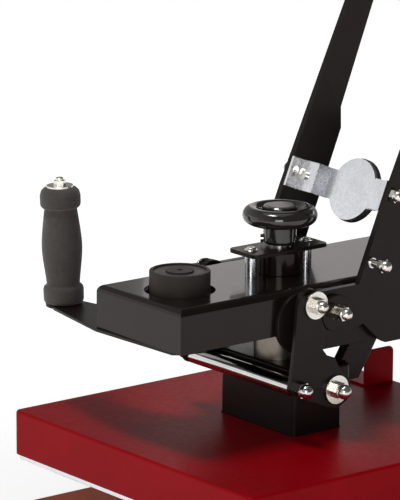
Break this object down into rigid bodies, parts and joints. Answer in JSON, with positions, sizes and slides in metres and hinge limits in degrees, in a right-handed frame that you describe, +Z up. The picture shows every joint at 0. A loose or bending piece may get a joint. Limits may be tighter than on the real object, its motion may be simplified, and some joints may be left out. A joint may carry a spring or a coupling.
{
  "type": "swing-away heat press",
  "caption": "Swing-away heat press: toggle lever with magnetic latch lowers a heated square platen; head swings on a rear post; grip, pressure knob, control box.",
  "frame": {"origin": "centre of the machine's footprint, on the surface it stands on", "axes": "+Z up, +X to the operator's right, +Y away from the operator"},
  "size_m": [0.3848, 0.53, 0.7092],
  "materials": {
    "black_paint": "satin black powder coat",
    "red_paint": "gloss red powder coat",
    "zinc": "bright zinc plate",
    "ground_steel": "ground and polished",
    "chrome": "polished",
    "bearing_bronze": "oiled bronze",
    "aluminium": "cast and machined",
    "insulation": "fibre board",
    "silicone": "matt sponge",
    "foam": "matt foam grip",
    "rubber": "matt",
    "gloss_black": "moulded, glossy",
    "resin": "cast resin",
    "box_plastic": "fine texture",
    "pale_cap": "satin"
  },
  "bodies": {
    "base": {"feet": "rubber", "base_rails": "black_paint", "base_cross_members": "black_paint", "rail_end_caps": "box_plastic", "table_stand": "black_paint", "lower_platen": "aluminium", "silicone_pad": "silicone", "post_socket": "black_paint", "base_bolts": "zinc", "post": "ground_steel", "post_cap": "black_paint"},
    "swing_head": {"beam": "black_paint", "post_sleeve": "black_paint", "post_bushes": "bearing_bronze", "side_brackets": "black_paint", "main_pivots": "black_paint", "hub_studs": "zinc", "guide_bush": "bearing_bronze", "guide_tube": "black_paint", "standoffs": "zinc", "knob_plate": "black_paint", "knob_plate_screws": "zinc", "electromagnet_body": "black_paint", "electromagnet_coil": "resin", "swing_bracket": "black_paint", "swing_grip": "foam", "swing_grip_bolt": "zinc", "swing_grip_nut": "zinc", "control_box": "box_plastic", "control_panel": "box_plastic", "display_window": "gloss_black", "power_inlet": "box_plastic"},
    "press_head": {"ram": "ground_steel", "yoke": "black_paint", "lower_shaft": "ground_steel", "yoke_struts": "black_paint", "platen_cover": "red_paint", "insulation_board": "insulation", "heated_plate": "aluminium", "cover_screws": "zinc", "cover_bracket": "red_paint", "opening_spring": "ground_steel"},
    "lever": {"lever_plates": "black_paint", "lever_bar": "ground_steel", "lever_grip": "foam", "lever_bar_screws": "zinc", "armature_plate": "zinc", "armature_backing": "black_paint", "lever_bolts": "zinc", "crank_pins": "zinc"},
    "links": {"toggle_links": "black_paint", "tie_rod": "chrome", "lower_pins": "zinc"},
    "knob": {"pressure_knob": "gloss_black", "knob_cap": "pale_cap", "adjusting_screw": "ground_steel"},
    "left_key": {"key_left": "pale_cap"},
    "middle_key": {"key_middle": "pale_cap"},
    "right_key": {"key_right": "pale_cap"},
    "rocker": {"power_rocker": "gloss_black"}
  },
  "joints": [
    {"name": "head_swing", "type": "hinge", "parent": "base", "child": "swing_head", "pos_m": [0, 0.21, 0.32], "axis": [0, 0, 1], "range_deg": [-90, 90]},
    {"name": "lever_hinge", "type": "hinge", "parent": "swing_head", "child": "lever", "pos_m": [0, -0.073, 0.354], "axis": [1, 0, 0], "range_deg": [0, 113], "stiffness_Nm_per_rad": 4, "springref_deg": -68.75},
    {"name": "platen_slide", "type": "slide", "parent": "swing_head", "child": "press_head", "axis": [0, 0, 1], "range_m": [-0.0468, 0], "deforming": ["opening_spring"]},
    {"name": "link_hinge", "type": "hinge", "parent": "lever", "child": "links", "pos_m": [0, -0.1005, 0.3665], "axis": [1, 0, 0], "range_deg": [-129.63, 0]},
    {"name": "knob_turn", "type": "hinge", "parent": "swing_head", "child": "knob", "pos_m": [0, -0.075, 0.43], "axis": [0, 0, 1], "continuous": true},
    {"name": "left_key_press", "type": "slide", "parent": "swing_head", "child": "left_key", "axis": [0, 0.9884, -0.1521], "range_m": [0, 0.0011], "stiffness_N_per_m": 600},
    {"name": "middle_key_press", "type": "slide", "parent": "swing_head", "child": "middle_key", "axis": [0, 0.9884, -0.1521], "range_m": [0, 0.0011], "stiffness_N_per_m": 600},
    {"name": "right_key_press", "type": "slide", "parent": "swing_head", "child": "right_key", "axis": [0, 0.9884, -0.1521], "range_m": [0, 0.0011], "stiffness_N_per_m": 600},
    {"name": "rocker_tilt", "type": "hinge", "parent": "swing_head", "child": "rocker", "pos_m": [0, 0.12467, 0.39888], "axis": [1, 0, 0], "range_deg": [0, 10]}
  ],
  "couplings": [
    {"joint": "platen_slide", "follows": "lever_hinge", "m_per_rad": -0.02373},
    {"joint": "link_hinge", "follows": "lever_hinge", "ratio": -1.147}
  ]
}
